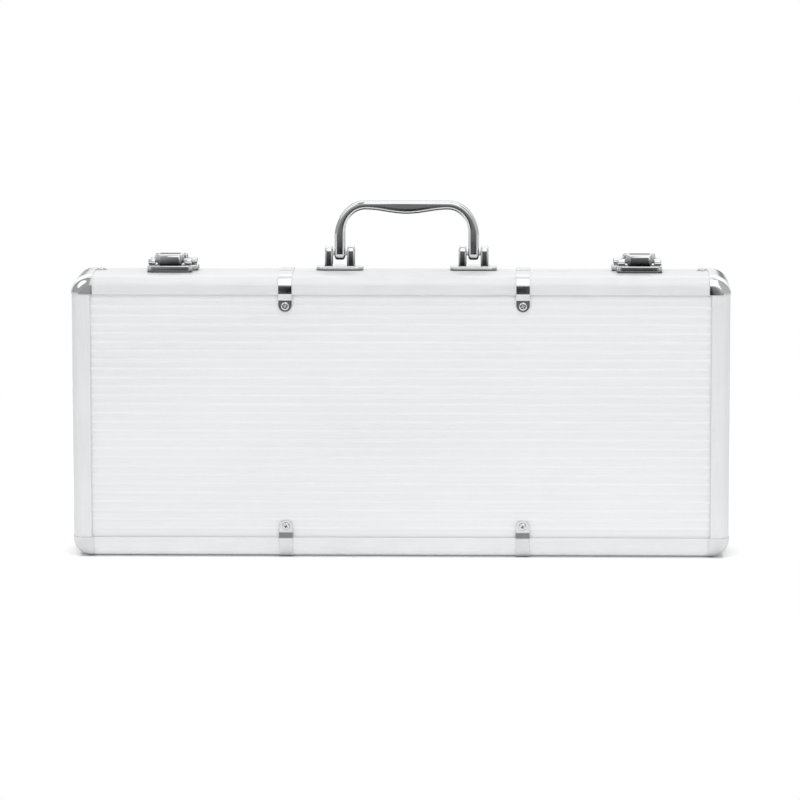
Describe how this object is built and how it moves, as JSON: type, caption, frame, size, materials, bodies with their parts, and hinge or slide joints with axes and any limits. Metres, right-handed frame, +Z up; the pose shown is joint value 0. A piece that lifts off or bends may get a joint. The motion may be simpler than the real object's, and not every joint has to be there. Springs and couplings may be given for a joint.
{
  "type": "poker chip case",
  "caption": "Aluminium poker chip case with ribbed faces, ball corners, draw latches, a bail handle and racks for chips inside.",
  "frame": {"origin": "on the ground under the middle of the case, which stands on its hinge side", "axes": "+X along the case to the viewer's right, +Y from the lid's face to the base's face, +Z up"},
  "size_m": [0.5722, 0.0716, 0.3065],
  "materials": {
    "rail_aluminium": "satin anodised",
    "panel_aluminium": "ribbed, fine satin",
    "chrome": "polished plate",
    "zinc_steel": "zinc plate",
    "fibre_board": "raw board",
    "black_flock": "flocked",
    "black_foam": "soft foam"
  },
  "bodies": {
    "base": {"accessory_tray": "black_flock", "base_board": "fibre_board", "base_clip_bottom_left": "chrome", "base_clip_bottom_right": "chrome", "base_clip_screw_bottom_left": "chrome", "base_clip_screw_bottom_right": "chrome", "base_clip_screw_top_left": "chrome", "base_clip_screw_top_right": "chrome", "base_clip_top_left": "chrome", "base_clip_top_right": "chrome", "base_corner_bottom_left": "chrome", "base_corner_bottom_right": "chrome", "base_corner_top_left": "chrome", "base_corner_top_right": "chrome", "base_hinge_leaf_left": "zinc_steel", "base_hinge_leaf_right": "zinc_steel", "base_panel": "panel_aluminium", "base_rail_bottom": "rail_aluminium", "base_rail_left": "rail_aluminium", "base_rail_right": "rail_aluminium", "base_rail_top": "rail_aluminium", "chip_rack_left": "black_flock", "chip_rack_right": "black_flock", "handle_bracket_left": "chrome", "handle_bracket_right": "chrome", "handle_pin_left": "zinc_steel", "handle_pin_right": "zinc_steel", "hinge_pin_left": "zinc_steel", "hinge_pin_right": "zinc_steel", "latch_base_left": "chrome", "latch_base_right": "chrome"},
    "lid": {"keeper_left": "chrome", "keeper_right": "chrome", "lid_board": "fibre_board", "lid_clip_bottom_left": "chrome", "lid_clip_bottom_right": "chrome", "lid_clip_screw_bottom_left": "chrome", "lid_clip_screw_bottom_right": "chrome", "lid_clip_screw_top_left": "chrome", "lid_clip_screw_top_right": "chrome", "lid_clip_top_left": "chrome", "lid_clip_top_right": "chrome", "lid_corner_bottom_left": "chrome", "lid_corner_bottom_right": "chrome", "lid_corner_top_left": "chrome", "lid_corner_top_right": "chrome", "lid_foam": "black_foam", "lid_hinge_leaf_left": "zinc_steel", "lid_hinge_leaf_right": "zinc_steel", "lid_panel": "panel_aluminium", "lid_rail_bottom": "rail_aluminium", "lid_rail_left": "rail_aluminium", "lid_rail_right": "rail_aluminium", "lid_rail_top": "rail_aluminium"},
    "handle": {"handle": "chrome"},
    "left_lever": {"latch_lever_left": "chrome"},
    "left_claw": {"latch_claw_left": "zinc_steel"},
    "right_lever": {"latch_lever_right": "chrome"},
    "right_claw": {"latch_claw_right": "zinc_steel"}
  },
  "joints": [
    {"name": "lid_hinge", "type": "hinge", "parent": "base", "child": "lid", "pos_m": [0, 0.0045, 0.0022], "axis": [1, 0, 0], "range_deg": [0, 95]},
    {"name": "handle_swing", "type": "hinge", "parent": "base", "child": "handle", "pos_m": [0.0044, 0.017, 0.2604], "axis": [1, 0, 0], "range_deg": [-90, 90]},
    {"name": "left_lever_throw", "type": "hinge", "parent": "base", "child": "left_lever", "pos_m": [-0.2011, 0.019, 0.2544], "axis": [-1, 0, 0], "range_deg": [0, 100]},
    {"name": "left_claw_swing", "type": "hinge", "parent": "left_lever", "child": "left_claw", "pos_m": [-0.2011, 0.012, 0.2542], "axis": [-1, 0, 0], "range_deg": [-80, 0]},
    {"name": "right_lever_throw", "type": "hinge", "parent": "base", "child": "right_lever", "pos_m": [0.2069, 0.019, 0.2544], "axis": [-1, 0, 0], "range_deg": [0, 100]},
    {"name": "right_claw_swing", "type": "hinge", "parent": "right_lever", "child": "right_claw", "pos_m": [0.2069, 0.012, 0.2542], "axis": [-1, 0, 0], "range_deg": [-80, 0]}
  ],
  "couplings": [
    {"joint": "left_claw_swing", "follows": "left_lever_throw", "ratio": -0.8},
    {"joint": "right_claw_swing", "follows": "right_lever_throw", "ratio": -0.8}
  ]
}
